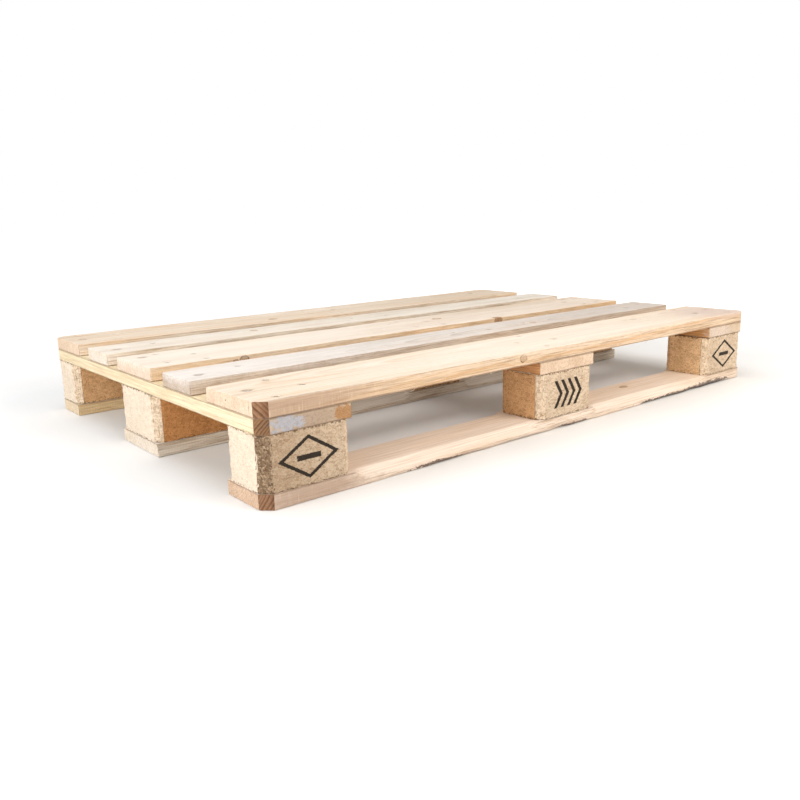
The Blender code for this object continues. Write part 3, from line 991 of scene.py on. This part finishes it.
def build_stringers():
    shared = dict(slot="stringer_timber", grain_axis="Y", shaded_seams=(-1, 1))
    build_timber(
        "stringer_left", tone=STRAW, seed=67, pith=(-0.03, -0.05), ring=0.003, contrast=0.35, warm=0.1,
        side_tint=(0.9, 0.62, 0.36), tinted_side=-1, side_grain=0.45,
        patches=[
            ((-0.4, 0.0, 0.0), (0.02, 0.09, 0.03), (0.38, 0.28, 0.21), 0.85, "soft"),
            ((-0.4, 0.032, 0.0), (0.016, 0.024, 0.0105), (0.41, 0.42, 0.47), 0.92),
            ((-0.4, -0.061, -0.001), (0.024, 0.0165, 0.0105), (0.4, 0.2, 0.075), 0.95)], **shared)
    build_timber(
        "stringer_middle", tone=PALE, seed=71, pith=(0.02, 0.045), ring=0.0033,
        side_tint=(0.78, 0.47, 0.25), **shared)
    build_timber(
        "stringer_right", tone=(*CREAM[:2], (0.66, 0.51, 0.39)), seed=83, pith=(0.01, -0.06), ring=0.0028,
        side_tint=(0.96, 0.62, 0.34), tinted_side=1,
        patches=[((-0.4, 0.03, 0.0), (0.02, 0.05, 0.02), (0.66, 0.58, 0.56), 0.35)], **shared)


def build_base():
    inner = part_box("block_front_left")[1].x
    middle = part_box("block_centre_middle")[1].x
    bays = ((inner, -middle), (middle, -inner))
    shared = dict(slot="base_timber", bays=bays, level=CAD_BOUNDS[0][2], upward=-1, shaded_seams=(1,))
    build_timber(
        "base_front", tone=((0.9, 0.79, 0.7), (0.74, 0.58, 0.45), (0.5, 0.29, 0.15)), seed=97,
        pith=(0.05, 0.05), ring=0.0034, contrast=0.4, warm=0.25, nails=base_nail_places("front"),
        wane=[(-1, -1, -0.42, 0.1, 0.0085), (-1, -1, 0.2, 0.58, 0.0085), (1, -1, -0.3, 0.05, 0.006)],
        knots=[("w", 0.25, 0.01, 0.007, 0, 0.6)],
        patches=[
            ((-0.53, -0.0485, 0.0), (0.11, 0.004, 0.022), (0.43, 0.3, 0.22), 0.84, "soft"),
            # Dark marks along the lower front edge: partly bark on the wane, partly painted shadow of the gap
            # under the board.
            ((-0.3, -0.047, -0.009), (0.05, 0.006, 0.004), (0.1, 0.06, 0.04), 0.9),
            ((0.02, -0.047, -0.009), (0.04, 0.005, 0.003), (0.1, 0.06, 0.04), 0.9),
            ((0.38, -0.047, -0.01), (0.16, 0.01, 0.0054), (0.07, 0.054, 0.045), 0.93),
            ((0.47, -0.047, -0.0085), (0.065, 0.01, 0.0074), (0.11, 0.093, 0.084), 0.92)], **shared)
    build_timber(
        "base_centre", tone=WHITE, seed=101, pith=(-0.03, 0.06), ring=0.0031,
        nails=base_nail_places("centre"), **shared)
    build_timber(
        "base_back", tone=CREAM, seed=113, pith=(0.0, 0.05), ring=0.0037, warm=0.3,
        side_tint=(1.0, 0.88, 0.68), wane=[(1, -1, -0.25, 0.4, 0.007)],
        nails=base_nail_places("back"), **shared)


def build_splinters():
    """Torn fibres on the sawn ends of the stringers and under the deck's front edge."""
    chance = np.random.default_rng(5)
    for column in COLUMNS:
        node = f"stringer_{column}"
        low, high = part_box(node)
        material = bpy.data.materials[node + "_pine"]
        starts = []
        for side, end in itertools.product((low.x, high.x), (low.y, high.y)):
            inward = 1 if end < 0 else -1
            for _ in range(4):
                from_end = chance.uniform(0.02, 0.05)
                starts.append((side, end + inward * from_end, low.z + chance.uniform(0.0004, 0.003)))
        add_splinters(node + "_splinters", starts, (0, 1, 0), 7, material)
    low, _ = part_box("deck_outer_front")
    starts = [(x, low.y + 0.001, low.z + 0.001) for x in (-0.34, -0.222, -0.19, 0.24)]
    material = bpy.data.materials["deck_outer_front_pine"]
    add_splinters("deck_outer_front_splinters", starts, (1, 0, 0), 12, material,
                  lifts=(0.28, 0.5))


# ---- studio

CAMERA_PLACE = (-1.07, -1.249, 0.37)
CAMERA_AZIMUTH = -39.4
CAMERA_ELEVATION = 13.3
CAMERA_ROLL = -1.4
CAMERA_LENS = 35.8
CAMERA_SENSOR = 36.0
WORLD_LIGHT = 0.4
SWEEP_GLOW = 0.75           # of the floor far from the pallet, so that it runs into the white
FLOOR_REACH = 30
FLOOR_GAP = 0.0006          # keeps the floor clear of the pallet's underside
# Name, place, point aimed at, size, watts and colour.
SOFTBOXES = (
    ("softbox_left", (-2.5, -0.6, 1.0), (-0.3, 0.0, 0.05), (1.8, 1.5), 42, (0.98, 0.99, 1.0)),
    ("softbox_front", (0.45, -1.6, 1.25), (0.0, -0.35, 0.05), (1.2, 0.9), 24, (1.0, 0.91, 0.8)),
    ("softbox_top", (-0.7, 0.4, 2.2), (-0.1, 0.2, 0.1), (2.0, 1.6), 25, (1.0, 1.0, 1.0)),
    ("softbox_right", (2.6, 0.5, 0.42), (0.4, 0.1, 0.06), (1.8, 0.6), 11, (1.0, 0.97, 0.93)),
)


def build_camera():
    camera = bpy.data.objects.new("camera", bpy.data.cameras.new("camera"))
    camera.data.lens = CAMERA_LENS
    camera.data.sensor_width = CAMERA_SENSOR
    camera.location = CAMERA_PLACE
    azimuth = radians(CAMERA_AZIMUTH)
    elevation = radians(CAMERA_ELEVATION)
    back = Vector((sin(azimuth) * cos(elevation), -cos(azimuth) * cos(elevation), sin(elevation)))
    level = (-back).to_track_quat("-Z", "Y").to_matrix().to_4x4()
    turned = level @ Matrix.Rotation(radians(CAMERA_ROLL), 4, "Z")
    camera.rotation_euler = turned.to_euler()
    link(camera)
    bpy.context.scene.camera = camera


def add_softbox(name, place, target, size, power, colour):
    light = bpy.data.objects.new(name, bpy.data.lights.new(name, "AREA"))
    light.data.shape = "RECTANGLE"
    light.data.size, light.data.size_y = size
    light.data.energy = power
    light.data.color = colour
    light.location = place
    light.rotation_euler = (Vector(target) - Vector(place)).to_track_quat("-Z", "Y").to_euler()
    link(light)


def build_studio():
    world = bpy.data.worlds.new("studio")
    world.use_nodes = True
    nodes = world.node_tree.nodes
    nodes["Background"].inputs["Color"].default_value = (1.0, 1.0, 1.0, 1.0)
    seen = nodes.new("ShaderNodeLightPath").outputs["Is Camera Ray"]
    strength = nodes.new("ShaderNodeMapRange")
    strength.inputs["To Min"].default_value = WORLD_LIGHT
    strength.inputs["To Max"].default_value = 1.0
    world.node_tree.links.new(seen, strength.inputs["Value"])
    world.node_tree.links.new(strength.outputs[0], nodes["Background"].inputs["Strength"])
    bpy.context.scene.world = world
    for softbox in SOFTBOXES:
        add_softbox(*softbox)
    corners = [(FLOOR_REACH * x, FLOOR_REACH * y, 0) for x, y in AROUND]
    floor = bpy.data.objects.new("floor", new_mesh("floor", corners, [(0, 1, 2, 3)]))
    floor.location.z = CAD_BOUNDS[0][2] - FLOOR_GAP
    link(floor)
    g = Graph("studio_floor")
    place = g.place()
    cloud = g.noise(place, (3, 3, 3), 2.0)
    g.finish(g.ramp(cloud, [(0.3, 0.8), (0.7, 0.84)]), g.step(cloud, 0.3, 0.7, 0.7, 0.8), cloud, 0.0001, 0.1)
    away = g.length(place)
    g.shader.inputs["Emission Color"].default_value = (1.0, 1.0, 1.0, 1.0)
    g.tree.links.new(g.step(away, 0.5, 2.4, 0.0, SWEEP_GLOW), g.shader.inputs["Emission Strength"])
    floor.data.materials.append(g.material)
    bpy.context.scene.view_settings.view_transform = "Standard"


build_deck(cad_nail_places() + stringer_nail_places())
build_stringers()
build_base()
build_blocks()
build_nails()
build_splinters()
build_camera()
build_studio()
